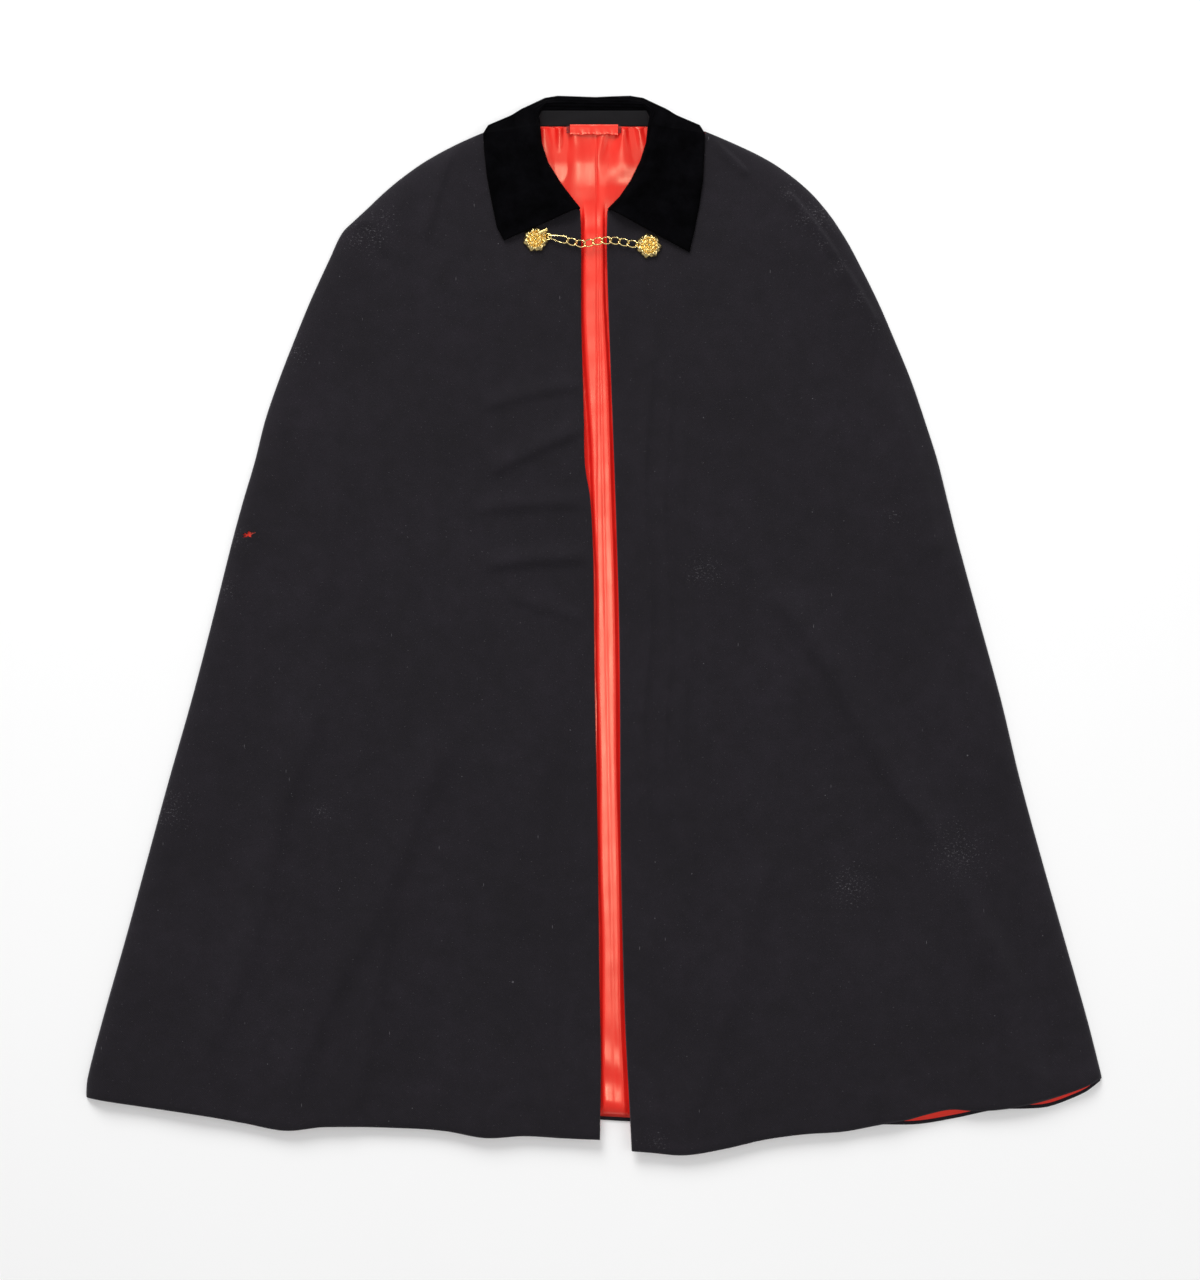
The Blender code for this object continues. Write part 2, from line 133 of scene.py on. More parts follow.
FOLD_GAIN = 2.3


def cubic(t, a, b, leaving, arriving):
    """A cubic from a to b, with its slopes at both ends for the whole step."""
    return ((2 * t ** 3 - 3 * t ** 2 + 1) * a + (t ** 3 - 2 * t ** 2 + t) * leaving
            + (3 * t ** 2 - 2 * t ** 3) * b + (t ** 3 - t ** 2) * arriving)


def curve_at(points, t):
    """Points at shares t of the length of a smooth curve through the given points."""
    given = np.array(points, float)
    ahead = np.vstack([given[1:], 2 * given[-1] - given[-2]])
    behind = np.vstack([2 * given[0] - given[1], given[:-1]])
    span = np.linalg.norm(ahead - given, axis=1)
    before = np.linalg.norm(given - behind, axis=1)
    slope = (ahead - behind) / (span + before)[:, None]
    fine = np.linspace(0, 1, 24, endpoint=False)[:, None]
    runs = [cubic(fine, given[k], given[k + 1], span[k] * slope[k], span[k] * slope[k + 1])
            for k in range(len(given) - 1)]
    line = np.vstack([*runs, given[-1:]])
    travel = np.concatenate([[0], np.cumsum(np.linalg.norm(np.diff(line, axis=0), axis=1))])
    place = np.asarray(t) * travel[-1]
    return np.stack([np.interp(place, travel, line[:, axis]) for axis in range(line.shape[1])], axis=-1) * MM


def smooth(low, high, value):
    share = np.clip((value - low) / (high - low), 0, 1)
    return share * share * (3 - 2 * share)


def hump(value, middle, half_width):
    return np.exp(-((value - middle) / half_width) ** 2)


def ripple(x, y, length, seed):
    """A gentle, never repeating surface of about the given wavelength, from -1 to 1."""
    total = np.zeros_like(x)
    for wave in range(5):
        angle = 1.7 * wave + 0.9 * seed
        stretch = 2 * math.pi / (length * (0.8 + 0.23 * wave))
        total += np.sin(stretch * (x * math.cos(angle) + y * math.sin(angle)) + 2.3 * seed + 1.1 * wave)
    return total / 3.2


def sheet_mesh(name, across, down, place, cut=None):
    """A grid laid on place(u, v), with its own flat place kept as the cloth's UV map."""
    bm = bmesh.new()
    bmesh.ops.create_grid(bm, x_segments=across, y_segments=down, size=0.5)
    grid = np.array([vert.co[:2] for vert in bm.verts]) + 0.5
    points, cloth = place(grid[:, 0], grid[:, 1])
    for vert, point in zip(bm.verts, points):
        vert.co = point
    layer = bm.loops.layers.uv.new("cloth")
    bm.verts.index_update()
    for face in bm.faces:
        for loop in face.loops:
            loop[layer].uv = cloth[loop.vert.index]
    if cut:
        cut(bm)
    return mesh_of(name, bm)


def mesh_of(name, bm):
    mesh = bpy.data.meshes.new(name)
    bm.to_mesh(mesh)
    bm.free()
    mesh.shade_smooth()
    return mesh


def add_mesh(name, mesh, material):
    item = bpy.data.objects.new(name, mesh)
    bpy.context.scene.collection.objects.link(item)
    mesh.materials.append(material)
    return item


def thicken(item, thickness):
    solid = item.modifiers.new("thickness", "SOLIDIFY")
    solid.thickness = thickness
    solid.offset = -1.0


# ------------------------------------------------------------------ materials

def is_link(value):
    return isinstance(value, tuple) and hasattr(value[0], "outputs")


def link(material, node, output, target, socket):
    material.node_tree.links.new(node.outputs[output], target.inputs[socket])


def add_node(material, kind, inputs=None, **settings):
    """Adds a shader node. An input is a value, or a (node, output) pair to link."""
    node = material.node_tree.nodes.new("ShaderNode" + kind)
    for key, value in settings.items():
        setattr(node, key, value)
    for key, value in (inputs or {}).items():
        if is_link(value):
            link(material, *value, node, key)
        else:
            node.inputs[key].default_value = value
    return node


def new_material(name, **sockets):
    """A Principled material; socket names are given with _ for a space."""
    material = bpy.data.materials.new(name)
    material.use_nodes = True
    shader = material.node_tree.nodes["Principled BSDF"]
    for socket, value in sockets.items():
        shader.inputs[socket.replace("_", " ")].default_value = value
    return material, shader


def noise(material, source, scale, detail=3.0, roughness=0.55, stretch=(1, 1, 1)):
    mapped = add_node(material, "Mapping", {"Vector": source, "Scale": stretch})
    return add_node(material, "TexNoise", {"Vector": (mapped, 0), "Scale": scale, "Detail": detail,
                                           "Roughness": roughness})


def ramp(material, source, low, high, start=0.0, stop=1.0):
    inputs = {"Value": source, "From Min": low, "From Max": high, "To Min": start, "To Max": stop}
    return add_node(material, "MapRange", inputs)


def mix_color(material, factor, first, second, blend_type="MIX"):
    first, second = (color if is_link(color) else (*color, 1.0) for color in (first, second))
    inputs = {0: factor, 6: first, 7: second}
    return add_node(material, "Mix", inputs, data_type="RGBA", blend_type=blend_type)


def math_node(material, operation, *values):
    return add_node(material, "Math", dict(enumerate(values)), operation=operation)


def bands(material, source, scale, distortion, direction, detail=None):
    """Parallel ribs or yarns, which follow one another in the given direction."""
    inputs = {"Vector": source, "Scale": scale, "Distortion": distortion, **(detail or {})}
    return add_node(material, "TexWave", inputs, wave_type="BANDS", bands_direction=direction)


def cloth_source(material):
    return add_node(material, "UVMap", uv_map="cloth"), 0


def bump(material, shader, height, distance, strength=1.0):
    node = add_node(material, "Bump", {"Height": height, "Distance": distance, "Strength": strength})
    link(material, node, 0, shader, "Normal")


# Where lint gathers on the wool, in millimetres: x, y, radius.
LINT_PATCHES = ((213, 476, 16), (231, 446, 17), (250, 420, 15), (269, 395, 17), (291, 360, 15),
                (310, 330, 14), (-262, 425, 22), (-228, 448, 20), (-398, 130, 14), (-300, -205, 16),
                (330, 120, 12), (70, -566, 18), (-245, 432, 38), (-392, 165, 22), (-398, 95, 24),
                (-405, 40, 22), (-470, -200, 40), (282, -285, 42), (250, 455, 42), (-60, 470, 30),
                (120, 60, 30), (400, -250, 50), (-330, 300, 26))

# Specks and fibres that lie all over: scale, stretch, turn, radius, chance.
FLECKS = ((75, (1, 1, 1), 0.0, 0.055, 0.10), (40, (3.2, 0.5, 1), 0.5, 0.05, 0.12),
          (40, (3.4, 0.5, 1), 2.3, 0.05, 0.10), (22, (1, 1, 1), 0.0, 0.03, 0.25))


def wool_material(settings):
    """Felted black twill: fine fibres over a faint diagonal rib, mottled, with pale lint where it gathers."""
    tone = Vector(settings.wool_color)
    material, shader = new_material("wool", Roughness=0.92, Specular_IOR_Level=0.18, Sheen_Weight=0.10,
                                    Sheen_Roughness=0.55)
    shader.inputs["Sheen Tint"].default_value = (0.62, 0.60, 0.68, 1)
    source = cloth_source(material)
    fibre = noise(material, source, 620, 5, 0.7)
    mottle = noise(material, source, 7, 4, 0.6)
    rub = noise(material, source, 46, 4, 0.65)
    rib = bands(material, source, 330, 3.0, "DIAGONAL", {"Detail": 2.0, "Detail Scale": 1.4})
    worn = math_node(material, "MULTIPLY", (mottle, 0), (rub, 0))
    base = mix_color(material, (fibre, 0), tone * 0.42, tone * 1.62)
    wear = ramp(material, (worn, 0), 0.12, 0.42)
    broad = mix_color(material, (wear, 0), (0.82, 0.82, 0.82), (1.22, 1.20, 1.24))
    shaded = mix_color(material, 1.0, (base, 2), (broad, 2), "MULTIPLY")
    patch = None
    for x, y, radius in LINT_PATCHES:
        away = add_node(material, "VectorMath", {0: source, 1: (x * MM, y * MM, 0)}, operation="DISTANCE")
        near = ramp(material, (away, 1), 0.0, radius * MM, 1.0, 0.0)
        patch = near if patch is None else math_node(material, "MAXIMUM", (patch, 0), (near, 0))
    thread = noise(material, source, 330, 4, 0.8, stretch=(1, 1.7, 1))
    sparse = math_node(material, "MULTIPLY_ADD", (patch, 0), 0.085, -0.012)
    fleck = math_node(material, "ADD", (thread, 0), (sparse, 0))
    lint = ramp(material, (fleck, 0), 0.635, 0.68)
    for shape in FLECKS:
        lint = math_node(material, "MAXIMUM", (lint, 0), (flecks(material, source, *shape), 0))
    amount = math_node(material, "MULTIPLY", (lint, 0), 0.8)
    speckled = mix_color(material, (amount, 0), (shaded, 2), (0.11, 0.105, 0.115))
    link(material, speckled, 2, shader, "Base Color")
    height = math_node(material, "MULTIPLY_ADD", (rib, 1), 0.35, (fibre, 0))
    bump(material, shader, (height, 0), 0.00035, 0.8)
    return material


def flecks(material, source, scale, stretch, turn, radius, chance):
    """Scattered specks, or fibres where they are stretched: 1 on a speck and 0 off it."""
    mapped = add_node(material, "Mapping", {"Vector": source, "Rotation": (0, 0, turn), "Scale": stretch})
    cells = add_node(material, "TexVoronoi", {"Vector": (mapped, 0), "Scale": scale})
    pick = add_node(material, "SeparateColor", {"Color": (cells, 1)})
    chosen = math_node(material, "LESS_THAN", (pick, 0), chance)
    near = ramp(material, (cells, 0), radius, radius * 0.5)
    return math_node(material, "MULTIPLY", (chosen, 0), (near, 0))


def satin_material(settings, name="satin"):
    """Red satin: a smooth warp-faced cloth with long faint streaks and a broad soft shine."""
    tone = Vector(settings.satin_color)
    material, shader = new_material(name, Roughness=0.32, Specular_IOR_Level=0.95, Sheen_Weight=0.06,
                                    Sheen_Roughness=0.35)
    shader.inputs["Sheen Tint"].default_value = (1.0, 0.45, 0.35, 1)
    shader.inputs["Specular Tint"].default_value = (1.0, 0.74, 0.50, 1)
    source = cloth_source(material)
    streak = noise(material, source, 30, 3, 0.5, stretch=(3.5, 0.4, 1))
    cloud = noise(material, source, 16, 3, 0.5)
    yarn = noise(material, source, 900, 2, 0.5, stretch=(1, 0.12, 1))
    weft = bands(material, source, 420, 1.0, "Y")
    tint = math_node(material, "MULTIPLY", (streak, 0), (cloud, 0))
    color = mix_color(material, (ramp(material, (tint, 0), 0.12, 0.42), 0), tone * 0.93, tone * 1.04)
    link(material, color, 2, shader, "Base Color")
    gloss = ramp(material, (streak, 0), 0.3, 0.7, 0.27, 0.36)
    link(material, gloss, 0, shader, "Roughness")
    height = math_node(material, "MULTIPLY_ADD", (weft, 1), 0.15, (yarn, 0))
    bump(material, shader, (height, 0), 0.00008, 0.35)
    return material


def velvet_material(settings):
    """Black cotton velvet: a dense pile that swallows light and shows faint brushed tracks."""
    tone = Vector(settings.velvet_color)
    material, shader = new_material("velvet", Roughness=1.0, Specular_IOR_Level=0.02, Sheen_Weight=0.012,
                                    Sheen_Roughness=0.30)
    shader.inputs["Sheen Tint"].default_value = (0.85, 0.72, 0.66, 1)
    source = cloth_source(material)
    pile = noise(material, source, 1500, 3, 0.7)
    brushed = noise(material, source, 26, 5, 0.62, stretch=(1, 2.4, 1))
    color = mix_color(material, (ramp(material, (brushed, 0), 0.35, 0.72), 0), tone * 0.55, tone * 1.7)
    link(material, color, 2, shader, "Base Color")
    height = math_node(material, "MULTIPLY_ADD", (brushed, 0), 0.8, (pile, 0))
    bump(material, shader, (height, 0), 0.0006, 0.8)
    return material


def black_cloth_material(settings):
    """Close black weave of the stand and under collar, a little smoother than the wool."""
    tone = Vector(settings.stand_color)
    material, shader = new_material("black_weave", Roughness=0.7, Specular_IOR_Level=0.2, Sheen_Weight=0.06,
                                    Sheen_Roughness=0.4)
    source = cloth_source(material)
    across, along = (bands(material, source, 520, 0.6, direction) for direction in "XY")
    grain = noise(material, source, 60, 4)
    weave = math_node(material, "MAXIMUM", (across, 1), (along, 1))
    color = mix_color(material, (grain, 0), tone * 0.7, tone * 1.35)
    link(material, color, 2, shader, "Base Color")
    bump(material, shader, (weave, 0), 0.00015, 0.6)
    return material


def thread_material(settings):
    """Twisted sewing thread."""
    tone = Vector(settings.thread_color)
    material, shader = new_material("tack_thread", Roughness=0.6, Sheen_Weight=0.2)
    source = (add_node(material, "TexCoord"), 3)
    ply = bands(material, source, 900, 0.5, "DIAGONAL")
    color = mix_color(material, (ply, 1), tone * 0.6, tone * 1.2)
    link(material, color, 2, shader, "Base Color")
    bump(material, shader, (ply, 1), 0.0001, 0.7)
    return material


def gold_material(settings):
    """Pale gold plate with painted shade: the colour is darker in the hollows and stays bright on the raised
    parts, and the hollows are also duller.
    """
    tone = Vector(settings.gold_color)
    material, shader = new_material("gold_plate", Metallic=1.0, Roughness=0.25)
    source = (add_node(material, "TexCoord"), 3)
    relief = add_node(material, "Attribute", attribute_name="relief")
    tarnish = noise(material, source, 420, 4, 0.6)
    depth = math_node(material, "MULTIPLY_ADD", (tarnish, 0), 0.35, (relief, "Fac"))
    bright = ramp(material, (depth, 0), 0.18, 0.75)
    # Painted shade: low relief (the hollows) mixes the colour towards a darker gold; high relief keeps it
    # bright.
    color = mix_color(material, (bright, 0), Vector((tone.x * 0.64, tone.y * 0.52, tone.z * 0.34)), tone)
    link(material, color, 2, shader, "Base Color")
    dull = ramp(material, (depth, 0), 0.1, 0.9, 0.42, 0.17)
    link(material, dull, 0, shader, "Roughness")
    bump(material, shader, (tarnish, 0), 0.00012, 0.5)
    return material


def floor_material(settings):
    material, shader = new_material("paper", Roughness=0.9, Specular_IOR_Level=0.1)
    source = (add_node(material, "TexCoord"), 3)
    grain = noise(material, source, 3, 3)
    tone = Vector(settings.floor_color)
    color = mix_color(material, (grain, 0), tone * 0.985, tone)
    link(material, color, 2, shader, "Base Color")
    return material


def material_named(name, make):
    """The material of that name, made the first time that a piece asks for it."""
    return bpy.data.materials.get(name) or make(bpy.context.scene.cape)


# ------------------------------------------------------------------ cloth surfaces

def neck_lift(x, y):
    """How high the back neck is raised by the collar leaf that is folded under it."""
    return NECK_LIFT * smooth(0.482, 0.512, y) * smooth(0.156, 0.124, np.abs(x))


def fold_height(side, x, y):
    """The soft folds and slow ripples of a front, which die away under the collar and the clasp."""
    total = 0.7 * ripple(x, y, 0.16, 3) + 0.25 * ripple(x, y, 0.045, 8)
    total += 1.3 * ripple(x, y * 0.25, 0.11, 5) * smooth(-0.20, -0.56, y)
    for (x1, y1), (x2, y2), half_width, height in FOLDS[side]:
        length = math.hypot(x2 - x1, y2 - y1)
        way_x, way_y = (x2 - x1) / length, (y2 - y1) / length
        along = (x / MM - x1) * way_x + (y / MM - y1) * way_y
        off = (x / MM - x1) * way_y - (y / MM - y1) * way_x + 4 * np.sin(along * 0.023 + half_width)
        off = np.where(off > 0, off * 0.8, off * 1.6)
        ends = smooth(-0.06, 0.16, along / length) * smooth(1.06, 0.84, along / length)
        total += FOLD_GAIN * height * hump(off, 0, half_width) * ends
    covered = smooth(0.150, 0.118, np.abs(x)) * smooth(0.380, 0.408, y)
    puff = 3.0 * hump(np.abs(x), 0.185, 0.07) * hump(y, 0.42, 0.09)
    return (total * bpy.context.scene.cape.fold_depth + puff) * (1 - covered) * MM


def front_rows(side, u, v, edge_shift=0.0, side_inset=0.0):
    """Flat place of a front: u from the front edge to the side seam, v from the neck down to the hem."""
    throat = 0.24
    upper = np.clip(v / throat, 0, 1)
    lower = np.clip((v - throat) / (1 - throat), 0, 1)
    is_upper = (v < throat)[:, None]
    inner = np.where(is_upper, curve_at(NECK[side], upper), curve_at(FRONT_EDGE[side], lower))
    outer = np.where(is_upper, curve_at(SHOULDER[side], upper), curve_at(SIDE[side], lower))
    way = outer - inner
    width = np.linalg.norm(way, axis=1)
    way = way / width[:, None]
    start, stop = inner + way * edge_shift, outer - way * side_inset
    flat = start + (stop - start) * u[:, None]
    hem = curve_at(FRONT_HEM[side], u)
    straight = curve_at(FRONT_HEM[side], 0.0) * (1 - u[:, None]) + curve_at(FRONT_HEM[side], 1.0) * u[:, None]
    flat = flat + (hem - straight) * (smooth(0.80, 1.0, v) ** 1.5)[:, None]
    to_side = np.linalg.norm(flat - outer, axis=1) * np.where(v < throat, 0.62, 0.93)
    to_edge = np.where(v < throat, 1.0, np.linalg.norm(flat - inner, axis=1))
    to_hem = (1 - v) * 1.33
    shoulder_line = 549 * MM - 0.11 * np.clip(np.abs(flat[:, 0]) - 64 * MM, 0, None)
    return flat, np.minimum(to_side, np.clip(shoulder_line - flat[:, 1], 0, None)), to_edge, to_hem


def front_height(side, flat, to_side, to_edge, to_hem):
    """Top of a front's wool: folded in the middle, thin at the side, rolled at the front edge and hem."""
    x, y = flat.T
    top = FRONT_TOP + fold_height(side, x, y)
    base = 0.8 * MM + neck_lift(x, y) * 1.5
    inside = 1 - np.clip(to_side / 0.026, 0, 1)
    height = base + (top - base) * np.sqrt(np.clip(1 - inside ** 2.2, 0, 1))
    rolled = 1 - np.clip(np.minimum(to_edge, to_hem + 0.3 * MM) / (3.2 * MM), 0, 1)
    height -= 2.6 * MM * (1 - np.sqrt(np.clip(1 - rolled ** 2, 0, 1)))
    height += 0.35 * MM * hump(to_hem, 0.038, 0.0022) * (to_side > 0.020)
    height -= 0.25 * MM * hump(to_edge, 0.008, 0.0012)
    lift = 2.5 * MM * hump(y, 0.185, 0.062) * np.exp(-to_edge / 0.016) if side == "left" else 0.0
    return height + lift


def from_middle(side, grid_u):
    """On the left the grid runs from the side to the middle of the cape, so that its faces point up."""
    return grid_u if side == "right" else 1 - grid_u


def from_edge(side, grid_u):
    """Share of a front's width, with more columns at both ends, where the cloth curves most."""
    u = from_middle(side, grid_u)
    return u - 0.55 * np.sin(2 * math.pi * u) / (2 * math.pi)


def wool_front(side):
    def place(u, v):
        u, v = from_edge(side, u), 1 - v
        flat, to_side, to_edge, to_hem = front_rows(side, u, v)
        height = front_height(side, flat, to_side, to_edge, to_hem)
        return np.column_stack([flat, height]), flat

    return place


def satin_front(side):
    def place(u, v):
        u, v = from_edge(side, u), 1 - v
        flat, to_side, to_edge, to_hem = front_rows(side, u, v, 2.2 * MM, 9 * MM)
        height = front_height(side, flat, to_side, np.maximum(to_edge, 4 * MM), np.maximum(to_hem, 4 * MM))
        flat[:, 1] += 13 * MM * smooth(0.9, 1.0, v)
        pucker = 0.25 * MM * ripple(flat[:, 0], flat[:, 1] * 0.3, 0.03, 2)
        return np.column_stack([flat, height - 2.45 * MM + pucker]), flat

    return place


def back_flat(side, u, v):
    """Flat place of half the back: u from the centre seam to the side, v from the neck down to the hem."""
    half = HALVES[side]
    outline = [(half * 76, 549.5), *SHOULDER[side], *SIDE[side][1:-1], BACK_HEM[side][-1]]
    outer = curve_at(outline, v)
    seam = np.stack([np.full_like(v, 3.0 * MM), 549.5 * MM + (-545 - 549.5) * MM * v], axis=-1)
    inset = np.clip(np.abs(outer[:, 0]) - 2.2 * MM, 0, None) * half
    stop = np.column_stack([inset, outer[:, 1]])
    flat = seam + (stop - seam) * u[:, None]
    hem = curve_at(BACK_HEM[side], u)[:, 1]
    straight = -545 * MM * (1 - u) + BACK_HEM[side][-1][1] * MM * u
    flat[:, 1] += (hem - straight) * smooth(0.85, 1.0, v)
    return flat, np.abs(flat[:, 0] - 3.0 * MM)


def wool_back(side):
    def place(u, v):
        flat, to_seam = back_flat(side, from_middle(side, u) ** 1.2, 1 - v)
        rise = 0.15 * MM * (1 - np.exp(-to_seam / (2 * MM)))
        return np.column_stack([flat, 1.3 * MM + neck_lift(*flat.T) + rise]), flat

    return place


# Gathers of the lining at the neck: x, height before the gain, half width, reach, slant.
NECK_PUCKERS = ((-55, 1.6, 5, 20, 0.05), (-46, -1.5, 4, 26, 0.12), (-38, 1.7, 4.5, 22, 0.05),
                (-31, -1.9, 4, 34, -0.05), (-22, 1.3, 5, 16, 0.1), (-12, 0.8, 5, 12, 0),
                (4, 0.9, 5, 14, 0.1), (14, 1.2, 5, 22, -0.25), (23, -1.4, 5, 30, -0.3),
                (33, 1.5, 4.5, 20, -0.1), (41, -1.5, 4, 20, 0.1), (49, 1.5, 5, 22, 0.2),
                (57, -1.0, 4, 14, 0.1))
PUCKER_GAIN = 2.3

# Edges of the lining's crown in the opening, each as its rising y and the x there.
STRIP_LEFT = np.array(((-560, -434, -170, 6, 60, 132, 198, 250, 290, 340, 460),
                       (8, 8.5, 4.6, 1.8, 1.2, -1.5, -4.5, -8.5, -11, -12.5, -13))) * MM
STRIP_RIGHT = np.array(((-560, -434, -170, 94, 270, 360, 460), (37.5, 32, 27, 23.2, 16.5, 12.5, 11.5))) * MM


def satin_height(x, y):
    """The back lining: gathered into the neck seam, blousing below it, then lying in long soft ripples."""
    down = np.clip(0.549 - y, 0, None)
    below_neck = smooth(0.470, 0.430, y)
    calm = 1 - 0.7 * smooth(-0.030, -0.004, x) * smooth(0.058, 0.034, x) * below_neck
    slow = 0.55 * ripple(x * 1.6, y * 0.35, 0.05, 4) + 0.35 * ripple(x, y, 0.09, 6)
    total = (slow + 0.5 * ripple(x, y, 0.035, 9)) * calm
    for middle, height, half_width, reach, slant in NECK_PUCKERS:
        spread = half_width * MM * (1 + down / 0.05)
        rise = hump(x - middle * MM - slant * down, 0, spread) * np.exp(-down / (reach * MM))
        total += PUCKER_GAIN * height * rise
    total -= 1.4 * hump(x, -0.034, 0.013) * hump(y, 0.505, 0.014)
    total -= 1.5 * hump(x - 0.3 * (y - 0.49), 0.030, 0.013) * hump(y, 0.492, 0.013)
    total += 1.7 * hump(y, 0.476, 0.030) * hump(x, -0.002, 0.036)
    total -= 0.3 * hump(x + 0.02 * (y - 0.5), 0.003, 0.0016)
    left = np.interp(y, *STRIP_LEFT) + 0.5 * MM * np.sin(y * 31)
    right = np.interp(y, *STRIP_RIGHT) + 0.5 * MM * np.sin(y * 23 + 2)
    share = np.abs(2 * x - left - right) / (right - left)
    wrinkle = 0.9 * np.sin(y * 130 + 70 * x) * smooth(-0.42, -0.50, y)
    crown = 5.2 + 0.4 * np.sin(y * 19 + 1) + wrinkle
    foot = 1.7 * smooth(1.7, 1.0, share)
    total += (crown * (1 - np.clip(share, 0, 1) ** 11) ** 0.9 + foot) * below_neck
    return total * smooth(-0.001, 0.003, down) * MM


def satin_back(side):
    def place(u, v):
        flat, to_seam = back_flat(side, from_middle(side, u) ** 1.7 * 0.985, (1 - v) ** 1.8)
        x, y = flat.T
        flat[:, 1] = np.where(v < 0.1, y + 4.2 * MM * (1 - v / 0.1), y)
        edge_fold = smooth(0.0, 0.006, v)
        gathers = satin_height(x, y) * smooth(0.30, 0.18, np.abs(x)) + 0.6 * MM
        height = BACK_LINING_TOP + gathers * edge_fold - 0.2 * MM * hump(to_seam, 0, 0.9 * MM)
        return np.column_stack([flat, np.maximum(height, 2.2 * MM) + neck_lift(x, y)]), flat

    return place


# ------------------------------------------------------------------ collar

def leaf(roll, edge, roll_height):
    """Collar section over a front: down inside the neck, over the roll, then flat out to the leaf's edge."""
    (x1, y1), (x2, y2) = roll, edge
    width = math.hypot(x2 - x1, y2 - y1)
    drop = roll_height - LEAF_TOP / MM
    shares = ((2.5 / width, -8.5), (0, -4.5), (4.5 / width, 0), (0.45, -0.5 * drop), (1, -drop))
    return [(x1 + (x2 - x1) * share, y1 + (y2 - y1) * share, roll_height + down) for share, down in shares]


def tucked(half, roll_x, edge):
    """Collar section behind the neck: from the stand, over the roll and back under the cape."""
    x, y = edge
    top = 583 - 0.9 * math.exp(-(roll_x / 14) ** 2)
    marks = ((roll_x, 567.3, 8.3), (roll_x, 575.5, 10.6), (roll_x + 1, top, 5.2),
             ((roll_x + x) / 2, 553, 0.05), (x, y, 0.05))
    return mirrored(half, marks)


def mirrored(half, marks):
    return [(half * x, y, z) for x, y, z in marks]


# Collar sections where the leaf folds round the shoulder, and just behind it.
FOLD = ((60.5, 560, 12), (63, 565, 14), (70, 570.5, 11), (93, 561, 9), (116.5, 551, 9))
BELOW_FOLD = ((57.5, 567, 10.2), (53, 574.5, 12), (52, 580.5, 6.5), (84, 563, 0.05), (113, 549.5, 0.05))
SECTIONS = np.array([
    leaf((-15, 459), (-99, 423), 20.5), leaf((-24, 470), (-107, 438), 21.5),
    leaf((-37, 487), (-112, 462), 23), leaf((-50, 508), (-118, 494), 24), leaf((-57, 529), (-121, 522), 24),
    leaf((-59, 549), (-122, 541), 21.5), mirrored(-1, FOLD), mirrored(-1, BELOW_FOLD),
    tucked(-1, 38, (92, 524)), tucked(-1, 20, (46, 518)), tucked(1, 0, (0, 516.5)),
    tucked(1, 20, (46, 518)), tucked(1, 38, (92, 524)), BELOW_FOLD, FOLD, leaf((59, 550), (122, 541), 21.5),
    leaf((57, 530), (121.5, 519), 24), leaf((51, 511), (120, 490), 24), leaf((41, 490), (116, 462), 23),
    leaf((28, 471), (111, 436), 21.5), leaf((15, 458), (105, 410), 20.5)])


def through(knots, t):
    """A curve through knots (along the first axis), t counting knots, with slopes that suit their spacing."""
    last = len(knots) - 1
    index = np.clip(t.astype(int), 0, last - 1)
    local = (t - index).reshape(-1, *[1] * (knots.ndim - 1))
    gaps = np.maximum(np.linalg.norm(np.diff(knots, axis=0), axis=-1, keepdims=True), 1e-6)
    rates = np.diff(knots, axis=0) / gaps
    inner = (rates[:-1] * gaps[1:] + rates[1:] * gaps[:-1]) / (gaps[:-1] + gaps[1:])
    slopes = np.concatenate([rates[:1], inner, rates[-1:]])
    length = gaps[index]
    return cubic(local, knots[index], knots[index + 1], length * slopes[index], length * slopes[index + 1])


def collar_points(u, v):
    """Points on the collar: u from the left tip round the neck to the right, v from inside to the edge."""
    across, back = np.unique(v, return_inverse=True)
    rounds = through(SECTIONS.transpose(1, 0, 2), across * 4).transpose(1, 0, 2)
    place = np.clip(u, 0, 1) * (len(SECTIONS) - 1)
    whole, spot = np.unique(place, return_inverse=True)
    index = np.clip(whole.astype(int), 0, len(SECTIONS) - 2)
    local = (whole - index)[:, None, None]
    soft = local * local * (3 - 2 * local)
    mixed = local * 0.8 + soft * 0.2
    lines = rounds[index] * (1 - mixed) + rounds[index + 1] * mixed
    return lines[spot, back] * MM


def velvet_place(u, v):
    """Outer face of the collar, with a padded edge, turned corners and a slightly uneven leaf."""
    points = collar_points(u, v)
    x, y, _ = points.T
    leaves = smooth(0.27, 0.20, u) + smooth(0.73, 0.80, u)
    edge = np.minimum(0.3 * np.minimum(u, 1 - u), 0.072 * (1 - v))
    rolled = 1 - np.clip(edge / 0.0026, 0, 1)
    down = 1.7 * (1 - np.sqrt(np.clip(1 - rolled ** 2, 0, 1)))
    flat = smooth(0.25, 0.55, v)
    swell = (0.9 * (1 + ripple(x, y, 0.06, 3)) + 0.35 * hump(edge, 0.007, 0.003)) * flat
    uneven = 0.25 * ripple(x, y, 0.012, 5) * smooth(0.0, 0.2, v)
    roll = (1 - leaves) * smooth(0.02, 0.1, v) * smooth(0.62, 0.4, v)
    wrinkle = 0.45 * np.sin(x * 210 + 9 * v) * np.sin(x * 83 - 14 * v + 1) + 0.3 * np.sin(v * 60 + x * 30)
    points[:, 2] += ((swell - down + uneven) * leaves + wrinkle * roll) * MM
    points[:, 2] = np.maximum(points[:, 2], 0.05 * MM)
    return points, np.column_stack([(u - 0.5) * 0.64, v * 0.09])


def under_place(u, v):
    points = collar_points(0.012 + 0.976 * u, 0.06 + v * 0.91)
    return points, points[:, :2]


